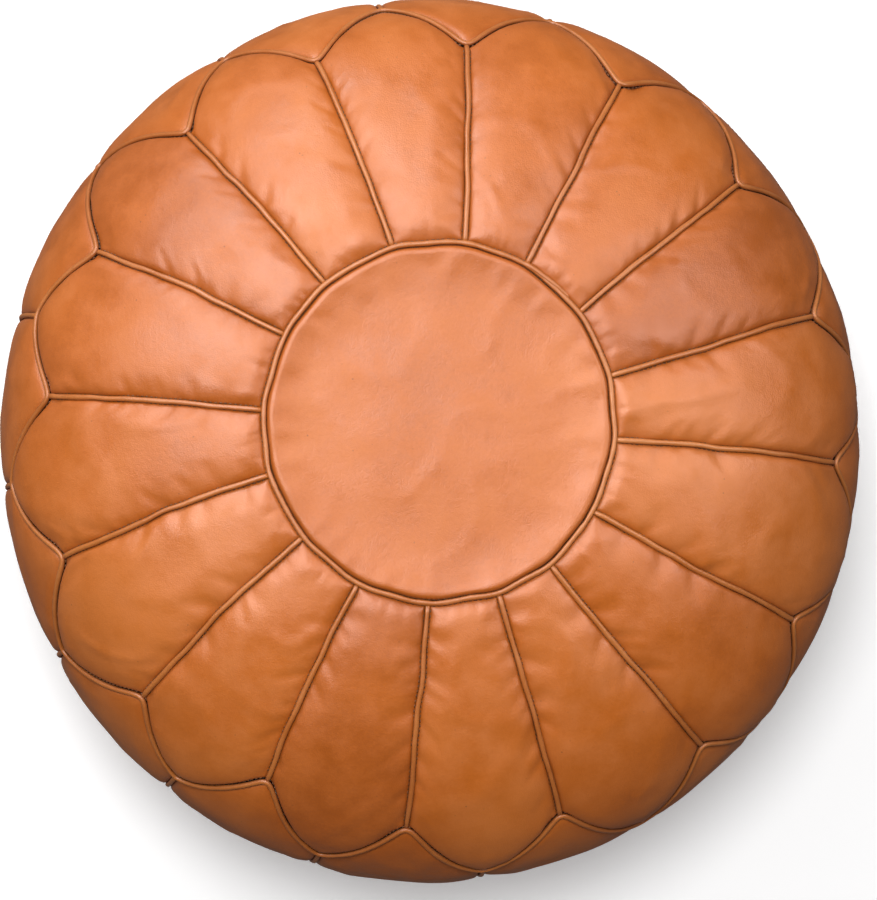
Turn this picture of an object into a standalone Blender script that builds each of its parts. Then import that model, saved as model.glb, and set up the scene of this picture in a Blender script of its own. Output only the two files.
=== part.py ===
"""A round leather pouf: a stuffed floor seat sewn from hand-cut panels, with a zip under the base.

Lengths are metres and +Z is up. The origin is on the floor under the middle of the seat.
Two numbers place a point on the cover. "Round" counts panels anticlockwise from the first
seam, and "level" runs from 0 at the top centre, through 1 at the widest line, to 2 at the
seam between the sides and the base.
"""
import math

import bmesh
import bpy
from mathutils import Matrix, Vector

# The stuffed cover: a slightly oval drum with a domed top.
HALF_WIDTH_X = 0.2712
HALF_WIDTH_Y = 0.2787
HEIGHT = 0.33
WIDEST_HEIGHT = 0.165
TOP_ROUNDNESS = 2.5
LOWER_ROUNDNESS = 2.7
MEAN_HALF_WIDTH = (HALF_WIDTH_X + HALF_WIDTH_Y) / 2

# Rings, as shares of the half width.
DISC_SPREAD = 0.385
VALLEY_SPREAD = 0.882
TIP_LEVEL = 0.85
SCALLOP_SWELL = 0.35
BASE_SPREAD = 0.66
FLAT_SPREAD = 0.60
BASE_SEAM_HEIGHT = 0.0045
DISC_SHIFT = Vector((-0.004, 0.003))

# Seams between the panels. Each was cut by hand and strays a little, in degrees.
PANELS = 16
PITCH = math.tau / PANELS
FIRST_SEAM = math.radians(-5)
INNER_STRAY = (1, -0.5, 0, 0.5, -1, -0.5, 1, -1.5, 0, -2.5, -3, -2.5, -1, 0.5, -2, -1.5)
OUTER_STRAY = (1, -0.5, -1, -0.5, 1, 1.5, 1, 0.5, 0, 0.5, 1, 0.5, 0, 0.5, 1, 0.5)
# How far each seam's outer end strays outwards, in millimetres.
REACH_STRAY = (8, 4, -1, -2, -6, -5, -2, -3, 1, 3, 1, -7, -2, 1, 9, 8)
# How far each scallop's tip strays down the cover, in hundredths of a level.
TIP_STRAY = (10, 6, 2, -2, -5, -2, 2, -8, -1, 0, -4, -3, -1, 7, 11, 11)

# Leather
LEATHER = 0.002
GROOVE = 0.0022
GAP = 0.0002
LEVEL_LENGTH = 0.3
DISC_RINGS = ((1.0, GROOVE), (0.75, 0.0), (0.4, 0.0))
PETAL_COLUMNS = 4
PETAL_ROWS = 7
SHOULDER_ROWS = 3
SIDE_ROWS = (0.2, 0.4, 0.6, 0.8)
WELT_RADIUS = 0.002
WELT_SIDES = 6
WELT_PROUD = 0.0005
WELT_CLEARANCE = 0.0003
WELT_STEPS = 2
JOIN_HALF_WIDTH = 0.002
NEARBY = 0.01

# Filling
STUFFING_DEPTH = 0.0090
STUFFING_COLUMNS = 32
STUFFING_FLOOR = 0.0026
STUFFING_FLAT_SPREAD = 0.57
STUFFING_LEVELS = (0.15, 0.3, 0.45, 0.6, 0.72, 0.84, 0.93, 1.0, 1.2, 1.4, 1.6, 1.8, 2.0)

# Base, with a fold on each side of the zip that holds it off the floor.
BASE_EDGE = 0.0024
BASE_END_HALF_WIDTH = 0.002
BASE_ROW_SHARES = (0.1, 0.3, 0.55, 0.8)
FOLD_HEIGHT = 0.008
FOLD_FOOT = 0.024
FOLD_TOP = 0.014
FOLD_END = 0.172
FOLD_FULL_END = 0.150
MOUTH_HALF_WIDTH = 0.008
MOUTH_END = 0.146
MOUTH_CLOSED = 0.154
GROOVE_HALF_WIDTH = 0.026
GROOVE_HEIGHT = 0.0148

# Zip: two rows of teeth on woven tapes, one slider and its pull.
TOOTH_PITCH = 0.0046
TOOTH_WIDTH = 0.0019
TOOTH_REACH = 0.0012
TOOTH_ROOT = 0.0016
TOOTH_BACK = 0.0034
TEETH_LOW = 0.0090
TEETH_HIGH = 0.0124
TEETH_PER_SIDE = 53
TEETH_START = -0.125
TAPE_INNER = 0.0037
TAPE_OUTER = 0.020
TAPE_LOW = 0.0103
TAPE_HIGH = 0.0111
TAPE_HALF_LENGTH = 0.145
SLIDER_Y = 0.117
SLIDER_HALF_LENGTH = 0.007
SLIDER_HALF_WIDTH = 0.0062
SLIDER_LOW = 0.0072
SLIDER_HIGH = 0.0142
PLATE = 0.0012
LIP_INNER = 0.0046
LIP_HEIGHT = 0.0015
POST_HALF_WIDTH = 0.0011
POST_START = 0.0037
BRIDGE_HALF_LENGTH = 0.004
BRIDGE_HALF_WIDTH = 0.0015
BRIDGE_LOW = 0.0032
BRIDGE_BAR = 0.0012
PIN_HEIGHT = 0.0058
PIN_RADIUS = 0.0008
PULL_LENGTH = 0.026
PULL_HALF_WIDTH = 0.004
PULL_ARM_INNER = 0.0019
PULL_HEAD = 0.0055
PULL_THICKNESS = 0.0014
PULL_TILT = math.radians(9.6)
PULL_END_STEPS = 6
PIN_SIDES = 12

# Edges that turn more than this are shown sharp.
SHARP_ANGLE = math.radians(40)

# Colours: red, green, blue, roughness, metallic.
PANEL_FINISH = (0.60, 0.21, 0.065, 0.45, 0.0)
WELT_FINISH = (0.72, 0.30, 0.11, 0.42, 0.0)
BASE_FINISH = (0.50, 0.17, 0.055, 0.55, 0.0)
FILL_FINISH = (0.85, 0.82, 0.75, 0.95, 0.0)
TAPE_FINISH = (0.30, 0.13, 0.05, 0.90, 0.0)
METAL_FINISH = (0.62, 0.47, 0.22, 0.35, 1.0)


def clear_scene():
    for thing in list(bpy.data.objects):
        bpy.data.objects.remove(thing, do_unlink=True)


def mix(start, end, share):
    return start + (end - start) * share


def smooth_step(share):
    share = min(max(share, 0.0), 1.0)
    return share * share * (3 - 2 * share)


# ---------------------------------------------------------------- the cover's surface

def lower_depth():
    """Height of the lower half's full curve, which the base seam cuts short."""
    fall = (1 - BASE_SPREAD ** LOWER_ROUNDNESS) ** (1 / LOWER_ROUNDNESS)
    return (WIDEST_HEIGHT - BASE_SEAM_HEIGHT) / fall


def profile(level):
    """The cover's spread, as a share of its half width, and its height at a level."""
    if level <= 1:
        turn = level * math.pi / 2
        spread = math.sin(turn) ** (2 / TOP_ROUNDNESS)
        rise = max(math.cos(turn), 0.0) ** (2 / TOP_ROUNDNESS)
        return spread, mix(WIDEST_HEIGHT, HEIGHT, rise)
    last = math.asin(BASE_SPREAD ** (LOWER_ROUNDNESS / 2))
    turn = mix(math.pi / 2, last, level - 1)
    spread = math.sin(turn) ** (2 / LOWER_ROUNDNESS)
    fall = max(math.cos(turn), 0.0) ** (2 / LOWER_ROUNDNESS)
    return spread, WIDEST_HEIGHT - lower_depth() * fall


def top_level(spread):
    """The level at which the top half has this spread."""
    return math.asin(spread ** (TOP_ROUNDNESS / 2)) / (math.pi / 2)


def cover_point(angle, level, depth=0.0):
    """A point at this depth under the cover's surface."""
    spread, height = profile(level)
    x = HALF_WIDTH_X * spread * math.cos(angle)
    y = HALF_WIDTH_Y * spread * math.sin(angle)
    return Vector((x, y, height)) - cover_normal(angle, level) * depth


def cover_normal(angle, level):
    """The cover's outward direction."""
    step = 1e-4
    if level < step:
        return Vector((0, 0, 1))
    low_spread, low_height = profile(level - step)
    high_spread, high_height = profile(min(level + step, 2.0))
    spread = profile(level)[0]
    run = high_spread - low_spread
    across = Vector((-HALF_WIDTH_X * spread * math.sin(angle), HALF_WIDTH_Y * spread * math.cos(angle), 0))
    down = Vector((
        HALF_WIDTH_X * run * math.cos(angle),
        HALF_WIDTH_Y * run * math.sin(angle),
        high_height - low_height,
    ))
    return down.cross(across).normalized()


# ---------------------------------------------------------------- where the seams run

def seam_angle(strays, seam):
    return FIRST_SEAM + seam * PITCH + math.radians(strays[seam % PANELS])


def angle_between(strays, around):
    seam = math.floor(around)
    return mix(seam_angle(strays, seam), seam_angle(strays, seam + 1), around - seam)


def inner_angle(around):
    return angle_between(INNER_STRAY, around)


def outer_angle(around):
    return angle_between(OUTER_STRAY, around)


def disc_level(angle):
    """Level of the round seam between the disc and the petals."""
    shift = DISC_SHIFT.x * math.cos(angle) + DISC_SHIFT.y * math.sin(angle)
    return top_level(DISC_SPREAD + shift / MEAN_HALF_WIDTH)


def valley_level(seam):
    """Level of a seam's outer end, where two petals and a side panel meet."""
    stray = REACH_STRAY[seam % PANELS] / 1000
    return top_level(VALLEY_SPREAD + stray / MEAN_HALF_WIDTH)


def tip_level(seam):
    """Level of the scallop's tip between a seam and the next."""
    return TIP_LEVEL + TIP_STRAY[seam % PANELS] / 100


def scallop(share):
    """How far down a scallop's arm is, from 0 at the valley to 1 at the tip."""
    return mix(share, math.sin(share * math.pi / 2), SCALLOP_SWELL)


def zigzag_level(around):
    """Level of the scalloped seam between the petals and the sides."""
    seam = math.floor(around)
    share = around - seam
    nearest = seam if share < 0.5 else seam + 1
    arm = 1 - abs(2 * share - 1)
    return mix(valley_level(nearest), tip_level(seam), scallop(arm))


def round_gap(level):
    """The clearance beside a seam, counted in panels."""
    return GAP / (PITCH * MEAN_HALF_WIDTH * profile(level)[0])


# ---------------------------------------------------------------- objects and finishes

def finish(name, values):
    material = bpy.data.materials.new(name)
    material.use_nodes = True
    shader = material.node_tree.nodes["Principled BSDF"]
    shader.inputs["Base Color"].default_value = (*values[:3], 1.0)
    shader.inputs["Roughness"].default_value = values[3]
    shader.inputs["Metallic"].default_value = values[4]
    return material


def add_object(name, bm, values, smooth=True):
    """One named object from a bmesh, with a finish of its own."""
    bmesh.ops.remove_doubles(bm, verts=bm.verts, dist=1e-6)
    bmesh.ops.recalc_face_normals(bm, faces=bm.faces)
    mesh = bpy.data.meshes.new(name)
    bm.to_mesh(mesh)
    bm.free()
    thing = bpy.data.objects.new(name, mesh)
    bpy.context.scene.collection.objects.link(thing)
    thing.data.materials.append(finish(name, values))
    if smooth:
        mesh.shade_smooth()
        mesh.set_sharp_from_angle(angle=SHARP_ANGLE)
    return thing


def hide_operand(thing):
    thing.hide_render = True
    thing.display_type = "WIRE"


def add_boolean(target, operand, operation):
    hide_operand(operand)
    modifier = target.modifiers.new(operand.name, "BOOLEAN")
    modifier.operation = operation
    modifier.solver = "EXACT"
    modifier.object = operand


# ---------------------------------------------------------------- mesh building

def shell_from_grids(outer, inner):
    """A closed shell between two equal grids of points."""
    bm = bmesh.new()
    grids = []
    for grid in (outer, inner):
        grids.append([[bm.verts.new(point) for point in row] for row in grid])
    rows = len(outer) - 1
    columns = len(outer[0]) - 1
    for grid in grids:
        for i in range(rows):
            for j in range(columns):
                bm.faces.new((grid[i][j], grid[i + 1][j], grid[i + 1][j + 1], grid[i][j + 1]))
    rim = [(0, j) for j in range(columns)]
    rim += [(i, columns) for i in range(rows)]
    rim += [(rows, j) for j in range(columns, 0, -1)]
    rim += [(i, 0) for i in range(rows, 0, -1)]
    for (i, j), (k, m) in zip(rim, rim[1:] + rim[:1]):
        bm.faces.new((grids[0][i][j], grids[0][k][m], grids[1][k][m], grids[1][i][j]))
    return bm


def ring_faces(bm, first, second):
    """Quads between two closed rings of vertices."""
    count = len(first)
    for k in range(count):
        following = (k + 1) % count
        bm.faces.new((first[k], first[following], second[following], second[k]))


def fan_faces(bm, ring, centre):
    count = len(ring)
    for k in range(count):
        bm.faces.new((ring[k], ring[(k + 1) % count], centre))


def tube_ring(bm, centre, outward, along, radius):
    """One section of a welt. Its flat sides face outwards from, and along, the seam's two edges."""
    side = along.cross(outward).normalized()
    ring = []
    for k in range(WELT_SIDES):
        turn = math.tau * (k + 0.5) / WELT_SIDES
        ring.append(bm.verts.new(centre + radius * (math.cos(turn) * side + math.sin(turn) * outward)))
    return ring


def tube_rings(bm, places, closed):
    """A welt's sections at a list of (centre, outward) places, and the faces between them."""
    rings = []
    count = len(places)
    for k, (centre, outward) in enumerate(places):
        before = places[(k - 1) % count][0] if closed or k else centre
        after = places[(k + 1) % count][0] if closed or k < count - 1 else centre
        along = (after - before).normalized()
        rings.append(tube_ring(bm, centre, outward, along, WELT_RADIUS))
    last = count if closed else count - 1
    for k in range(last):
        ring_faces(bm, rings[k], rings[(k + 1) % count])
    return rings


def prism(name, outline, axis, start, end, values):
    """A closed outline of two coordinates, extruded along the remaining axis."""
    bm = bmesh.new()
    order = {"X": (1, 2, 0), "Y": (0, 2, 1), "Z": (0, 1, 2)}[axis]
    ends = []
    for reach in (start, end):
        ring = []
        for first, second in outline:
            place = [0.0, 0.0, 0.0]
            place[order[0]] = first
            place[order[1]] = second
            place[order[2]] = reach
            ring.append(bm.verts.new(place))
        ends.append(ring)
    ring_faces(bm, ends[0], ends[1])
    bm.faces.new(ends[0])
    bm.faces.new(ends[1])
    return add_object(name, bm, values, smooth=False)


# ---------------------------------------------------------------- leather panels

def edge_depth(i, last_i, j, last_j):
    """A panel rolls down into the seam along its whole rim."""
    return GROOVE if i in (0, last_i) or j in (0, last_j) else 0.0


def build_disc():
    """The round panel in the middle of the top."""
    spots = [k / PETAL_COLUMNS for k in range(PANELS * PETAL_COLUMNS)]
    bm = bmesh.new()
    rims = []
    for under in (0.0, LEATHER):
        rings = []
        for share, depth in DISC_RINGS:
            ring = []
            for around in spots:
                angle = inner_angle(around)
                level = (disc_level(angle) - GAP / LEVEL_LENGTH) * share
                ring.append(bm.verts.new(cover_point(angle, level, depth + under)))
            rings.append(ring)
        for first, second in zip(rings, rings[1:]):
            ring_faces(bm, first, second)
        fan_faces(bm, rings[-1], bm.verts.new((0, 0, HEIGHT - under)))
        rims.append(rings[0])
    ring_faces(bm, rims[0], rims[1])
    return add_object("top_disc", bm, PANEL_FINISH)


def petal_point(number, column, row, depth):
    """A point of a petal, from the disc at row 0 to the scalloped seam at the last row."""
    across = column / PETAL_COLUMNS
    down = row / PETAL_ROWS
    around = number + across
    angle = mix(inner_angle(around), outer_angle(around), down)
    top = disc_level(inner_angle(around)) + GAP / LEVEL_LENGTH
    bottom = zigzag_level(around) - GAP / LEVEL_LENGTH
    level = mix(top, bottom, down)
    if column in (0, PETAL_COLUMNS):
        angle += (1 if column == 0 else -1) * round_gap(level) * PITCH
    return cover_point(angle, level, depth)


def build_petal(number):
    grids = []
    for under in (0.0, LEATHER):
        grid = []
        for row in range(PETAL_ROWS + 1):
            line = []
            for column in range(PETAL_COLUMNS + 1):
                depth = under + edge_depth(row, PETAL_ROWS, column, PETAL_COLUMNS)
                line.append(petal_point(number, column, row, depth))
            grid.append(line)
        grids.append(grid)
    add_object(f"top_petal_{number + 1:02d}", shell_from_grids(*grids), PANEL_FINISH)


def side_levels(around):
    """The rows of a side panel, from the scalloped seam to the base seam."""
    top = zigzag_level(around) + GAP / LEVEL_LENGTH
    bottom = 2 - GAP / LEVEL_LENGTH
    shoulder = [mix(top, 1.0, row / SHOULDER_ROWS) for row in range(SHOULDER_ROWS + 1)]
    return shoulder + [1 + share for share in SIDE_ROWS] + [bottom]


def build_side_panel(number):
    """One side panel. Its peak is at a seam's outer end, and it reaches down to the base."""
    columns = PETAL_COLUMNS
    grids = []
    for under in (0.0, LEATHER):
        grid = []
        for column in range(columns + 1):
            around = number - 0.5 + column / columns
            levels = side_levels(around)
            line = []
            for row, level in enumerate(levels):
                angle = outer_angle(around)
                if column in (0, columns):
                    angle += (1 if column == 0 else -1) * round_gap(level) * PITCH
                depth = under + edge_depth(row, len(levels) - 1, column, columns)
                line.append(cover_point(angle, level, depth))
            grid.append(line)
        grids.append(grid)
    add_object(f"side_panel_{number + 1:02d}", shell_from_grids(*grids), PANEL_FINISH)


# ---------------------------------------------------------------- welts

def welt_place(angle, level):
    """Where a welt's middle lies, a little proud of the cover, and which way is out."""
    return cover_point(angle, level, -WELT_PROUD), cover_normal(angle, level)


def build_disc_welt():
    places = []
    for k in range(PANELS * PETAL_COLUMNS):
        angle = inner_angle(k / PETAL_COLUMNS)
        places.append(welt_place(angle, disc_level(angle)))
    bm = bmesh.new()
    tube_rings(bm, places, closed=True)
    add_object("disc_welt", bm, WELT_FINISH)


def build_petal_welt(number):
    """The welt between two petals, stopping just short of the welts at its ends."""
    clearance = (2 * WELT_RADIUS + WELT_CLEARANCE) / LEVEL_LENGTH
    top = disc_level(inner_angle(number)) + clearance
    bottom = valley_level(number) - clearance
    places = []
    for row in range(PETAL_ROWS + 1):
        share = row / PETAL_ROWS
        angle = mix(inner_angle(number), outer_angle(number), share)
        places.append(welt_place(angle, mix(top, bottom, share)))
    bm = bmesh.new()
    rings = tube_rings(bm, places, closed=False)
    bm.faces.new(rings[0])
    bm.faces.new(rings[-1])
    add_object(f"petal_welt_{number + 1:02d}", bm, WELT_FINISH)


def paired_ring(bm, level_at, spots):
    """A closed welt with two close sections at each tip, which a side welt joins.

    Returns each tip's two sections.
    """
    places = []
    pairs = []
    for around in spots:
        level = level_at(around)
        if around % 1 == 0.5:
            half = JOIN_HALF_WIDTH / (MEAN_HALF_WIDTH * profile(level)[0])
            pairs.append(len(places))
            places.append(welt_place(outer_angle(around) - half, level))
            places.append(welt_place(outer_angle(around) + half, level))
        else:
            places.append(welt_place(outer_angle(around), level))
    rings = tube_rings(bm, places, closed=True)
    return [(rings[k], rings[k + 1]) for k in pairs]


def facing_quad(pair, level_step, around):
    """The four corners of the flat between two sections that faces up or down the cover."""
    level = zigzag_level(around) if level_step > 0 else 2.0
    here = cover_point(outer_angle(around), level)
    there = cover_point(outer_angle(around), level - level_step * NEARBY)
    towards = here - there
    first, second = pair
    sides = [(first[k], second[k], second[k - 1], first[k - 1]) for k in range(WELT_SIDES)]
    middle = sum((v.co for quad in sides for v in quad), Vector()) / (4 * WELT_SIDES)
    return max(sides, key=lambda quad: (sum((v.co for v in quad), Vector()) / 4 - middle).dot(towards))


def side_welt_section(bm, around, level):
    """Four corners of a side welt: low and high on its first edge, then on its second."""
    angle = outer_angle(around)
    half = JOIN_HALF_WIDTH / (MEAN_HALF_WIDTH * profile(level)[0])
    deep = WELT_RADIUS - WELT_PROUD
    proud = WELT_RADIUS + WELT_PROUD
    corners = ((angle - half, deep), (angle - half, -proud), (angle + half, -proud), (angle + half, deep))
    return [bm.verts.new(cover_point(turn, level, depth)) for turn, depth in corners]


def in_section_order(quad, around):
    """A joining face's corners in the order that side_welt_section gives."""
    angle = outer_angle(around)
    across = Vector((-math.sin(angle), math.cos(angle), 0))
    centre = sum((v.co for v in quad), Vector()) / 4
    outward = Vector((centre.x, centre.y, centre.z - WIDEST_HEIGHT)).normalized()
    ranked = sorted(quad, key=lambda v: (v.co - centre).dot(across))
    first = sorted(ranked[:2], key=lambda v: (v.co - centre).dot(outward))
    second = sorted(ranked[2:], key=lambda v: (v.co - centre).dot(outward))
    return [first[0], first[1], second[1], second[0]]


def add_side_welt(bm, around, top_pair, bottom_pair):
    """One welt down the side, grown from a flat of the scalloped welt to a flat of the base welt."""
    top_quad = facing_quad(top_pair, 1, around)
    bottom_quad = facing_quad(bottom_pair, -1, around)
    sections = [in_section_order(top_quad, around)]
    for level in side_levels(around)[1:-1]:
        sections.append(side_welt_section(bm, around, level))
    sections.append(in_section_order(bottom_quad, around))
    for quad in (top_quad, bottom_quad):
        bm.faces.remove(bm.faces.get(quad))
    for upper, lower in zip(sections, sections[1:]):
        ring_faces(bm, upper, lower)


def build_side_welt():
    """The scalloped welt, the sixteen side welts and the base welt: one net of leather cord."""
    bm = bmesh.new()
    steps = 2 * WELT_STEPS
    zigzag_spots = [k / steps for k in range(PANELS * steps)]
    base_spots = [k / PETAL_COLUMNS for k in range(PANELS * PETAL_COLUMNS)]
    top_pairs = paired_ring(bm, zigzag_level, zigzag_spots)
    bottom_pairs = paired_ring(bm, lambda around: 2.0, base_spots)
    for number in range(PANELS):
        add_side_welt(bm, number + 0.5, top_pairs[number], bottom_pairs[number])
    add_object("side_welt", bm, WELT_FINISH)


# ---------------------------------------------------------------- base and filling

def base_height(x, y):
    """Height of the base's outer face: flat on the floor, raised at its rim and beside the zip."""
    spread = math.hypot(x / HALF_WIDTH_X, y / HALF_WIDTH_Y)
    rim = smooth_step((spread - FLAT_SPREAD) / (BASE_SPREAD - FLAT_SPREAD))
    across = smooth_step((FOLD_FOOT - abs(x)) / (FOLD_FOOT - FOLD_TOP))
    along = smooth_step((FOLD_END - abs(y)) / (FOLD_END - FOLD_FULL_END))
    return BASE_SEAM_HEIGHT * rim + FOLD_HEIGHT * across * along


def mouth_half_width(y):
    """Half the gap between the base's two halves, which meet beyond the zip's ends."""
    closing = smooth_step((abs(y) - MOUTH_END) / (MOUTH_CLOSED - MOUTH_END))
    return mix(MOUTH_HALF_WIDTH, GAP, closing)


def base_columns(y, rim_x):
    """Distances from the zip line of the points across one row of a base half.

    Near the ends of the zip line the rows are short, so each point keeps a share of the row.
    """
    edge_share, top_share, foot_share, flat_share = BASE_ROW_SHARES
    flat = math.sqrt(max(FLAT_SPREAD ** 2 - (y / HALF_WIDTH_Y) ** 2, 0)) * HALF_WIDTH_X
    edge = min(mouth_half_width(y), edge_share * rim_x)
    top = min(FOLD_TOP, top_share * rim_x)
    foot = min(FOLD_FOOT, foot_share * rim_x)
    outer = max(flat, flat_share * rim_x)
    return [edge, top, foot, (foot + outer) / 2, outer, rim_x]


def base_rows(side):
    """(y, distance of the rim from the zip line) for the rows of one half, from -Y to +Y."""
    rows = []
    for k in range(PANELS * PETAL_COLUMNS):
        angle = outer_angle(k / PETAL_COLUMNS)
        rim_x = (BASE_SPREAD * HALF_WIDTH_X - BASE_EDGE) * math.cos(angle) * side
        if rim_x > FOLD_TOP:
            rows.append(((BASE_SPREAD * HALF_WIDTH_Y - BASE_EDGE) * math.sin(angle), rim_x))
    return sorted(rows)


def build_base_panel(name, side):
    """One half of the base, with its edge folded up along the zip."""
    end = BASE_SPREAD * HALF_WIDTH_Y - BASE_EDGE
    tip = BASE_END_HALF_WIDTH
    rows = [(-end, tip)] + base_rows(side) + [(end, tip)]
    grids = []
    for under in (0.0, LEATHER):
        grid = []
        for y, rim_x in rows:
            line = []
            for x in base_columns(y, rim_x):
                dip = GROOVE if x == rim_x or abs(y) == end else 0.0
                line.append(Vector((x * side, y, base_height(x, y) + dip + under)))
            grid.append(line)
        grids.append(grid)
    add_object(name, shell_from_grids(*grids), BASE_FINISH)


def build_stuffing():
    """The filling, one soft lump just inside the cover, with a channel over the zip."""
    bm = bmesh.new()
    angles = [math.tau * k / STUFFING_COLUMNS for k in range(STUFFING_COLUMNS)]
    rings = []
    for level in STUFFING_LEVELS:
        rings.append([bm.verts.new(cover_point(angle, level, STUFFING_DEPTH)) for angle in angles])
    floor_ring = []
    for angle in angles:
        x = HALF_WIDTH_X * STUFFING_FLAT_SPREAD * math.cos(angle)
        y = HALF_WIDTH_Y * STUFFING_FLAT_SPREAD * math.sin(angle)
        floor_ring.append(bm.verts.new((x, y, STUFFING_FLOOR)))
    rings.append(floor_ring)
    for first, second in zip(rings, rings[1:]):
        ring_faces(bm, first, second)
    fan_faces(bm, rings[0], bm.verts.new((0, 0, HEIGHT - STUFFING_DEPTH)))
    fan_faces(bm, rings[-1], bm.verts.new((0, 0, STUFFING_FLOOR)))
    stuffing = add_object("stuffing", bm, FILL_FINISH)
    half = GROOVE_HALF_WIDTH
    low = -GROOVE_HEIGHT
    outline = ((-half, low), (half, low), (half, GROOVE_HEIGHT), (-half, GROOVE_HEIGHT))
    channel = prism("zip_channel", outline, "Y", -HALF_WIDTH_Y, HALF_WIDTH_Y, FILL_FINISH)
    add_boolean(stuffing, channel, "DIFFERENCE")


# ---------------------------------------------------------------- zip

def build_tape(name, side):
    half = TAPE_HALF_LENGTH
    outline = (
        (side * TAPE_INNER, -half),
        (side * TAPE_OUTER, -half),
        (side * TAPE_OUTER, half),
        (side * TAPE_INNER, half),
    )
    prism(name, outline, "Z", TAPE_LOW, TAPE_HIGH, TAPE_FINISH)


def build_teeth(name, side, offset):
    """A row of teeth on one side of the zip, joined at their roots."""
    start = TEETH_START + offset
    outline = [(side * TOOTH_BACK, start)]
    for k in range(TEETH_PER_SIDE):
        y = start + k * TOOTH_PITCH
        outline.append((-side * TOOTH_REACH, y))
        outline.append((-side * TOOTH_REACH, y + TOOTH_WIDTH))
        outline.append((side * TOOTH_ROOT, y + TOOTH_WIDTH))
        if k < TEETH_PER_SIDE - 1:
            outline.append((side * TOOTH_ROOT, y + TOOTH_PITCH))
    outline.append((side * TOOTH_BACK, outline[-1][1]))
    prism(name, outline, "Z", TEETH_LOW, TEETH_HIGH, METAL_FINISH)


def plate_outline(plate_edge, channel_edge, lip_edge):
    """A slider plate with a lip along each side, seen along the zip."""
    wide = SLIDER_HALF_WIDTH
    return (
        (-wide, plate_edge),
        (wide, plate_edge),
        (wide, lip_edge),
        (LIP_INNER, lip_edge),
        (LIP_INNER, channel_edge),
        (-LIP_INNER, channel_edge),
        (-LIP_INNER, lip_edge),
        (-wide, lip_edge),
    )


def build_slider():
    """Two lipped plates joined by the post that parts the teeth, with a bridge for the pull."""
    start = SLIDER_Y - SLIDER_HALF_LENGTH
    end = SLIDER_Y + SLIDER_HALF_LENGTH
    low = SLIDER_LOW + PLATE
    high = SLIDER_HIGH - PLATE
    lower = plate_outline(SLIDER_LOW, low, low + LIP_HEIGHT)
    upper = plate_outline(SLIDER_HIGH, high, high - LIP_HEIGHT)
    slider = prism("zip_slider", lower, "Y", start, end, METAL_FINISH)
    slider_top = prism("slider_upper_plate", upper, "Y", start, end, METAL_FINISH)
    post = (
        (-POST_HALF_WIDTH, SLIDER_Y + POST_START),
        (POST_HALF_WIDTH, SLIDER_Y + POST_START),
        (2 * POST_HALF_WIDTH, end),
        (-2 * POST_HALF_WIDTH, end),
    )
    slider_post = prism("slider_post", post, "Z", low - PLATE / 2, high + PLATE / 2, METAL_FINISH)
    far = BRIDGE_HALF_LENGTH
    near = BRIDGE_HALF_LENGTH - BRIDGE_BAR
    root = SLIDER_LOW + PLATE / 2
    bridge = (
        (SLIDER_Y - far, root),
        (SLIDER_Y - far, BRIDGE_LOW),
        (SLIDER_Y + far, BRIDGE_LOW),
        (SLIDER_Y + far, root),
        (SLIDER_Y + near, root),
        (SLIDER_Y + near, BRIDGE_LOW + BRIDGE_BAR),
        (SLIDER_Y - near, BRIDGE_LOW + BRIDGE_BAR),
        (SLIDER_Y - near, root),
    )
    half = BRIDGE_HALF_WIDTH
    slider_bridge = prism("slider_bridge", bridge, "X", -half, half, METAL_FINISH)
    for operand in (slider_top, slider_post, slider_bridge):
        add_boolean(slider, operand, "UNION")


def build_pull():
    """The pull tab: a pin through the slider's bridge, two arms and a flat tab."""
    wide = PULL_HALF_WIDTH
    arm = PULL_ARM_INNER
    outline = [(arm, PIN_RADIUS), (wide, PIN_RADIUS), (wide, -PULL_LENGTH + wide)]
    for k in range(1, PULL_END_STEPS):
        turn = math.pi * k / PULL_END_STEPS
        outline.append((wide * math.cos(turn), -PULL_LENGTH + wide - wide * math.sin(turn)))
    outline += [(-wide, -PULL_LENGTH + wide), (-wide, PIN_RADIUS), (-arm, PIN_RADIUS)]
    outline += [(-arm, -PULL_HEAD), (arm, -PULL_HEAD)]
    half = PULL_THICKNESS / 2
    pull = prism("zip_pull", outline, "Z", -half, half, METAL_FINISH)
    bm = bmesh.new()
    turn = Matrix.Rotation(math.pi / 2, 4, "Y")
    bmesh.ops.create_cone(
        bm, cap_ends=True, segments=PIN_SIDES, radius1=PIN_RADIUS, radius2=PIN_RADIUS,
        depth=wide + arm, matrix=turn,
    )
    pin = add_object("pull_pin", bm, METAL_FINISH)
    add_boolean(pull, pin, "UNION")
    for thing in (pull, pin):
        thing.location = (0, SLIDER_Y, PIN_HEIGHT)
        thing.rotation_euler = (PULL_TILT, 0, 0)


def main():
    clear_scene()
    build_disc()
    build_disc_welt()
    for number in range(PANELS):
        build_petal(number)
        build_petal_welt(number)
        build_side_panel(number)
    build_side_welt()
    build_base_panel("base_panel_left", -1)
    build_base_panel("base_panel_right", 1)
    build_stuffing()
    build_tape("zip_tape_left", -1)
    build_tape("zip_tape_right", 1)
    build_teeth("zip_teeth_left", -1, 0.0)
    build_teeth("zip_teeth_right", 1, TOOTH_PITCH / 2)
    build_slider()
    build_pull()


main()
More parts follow.
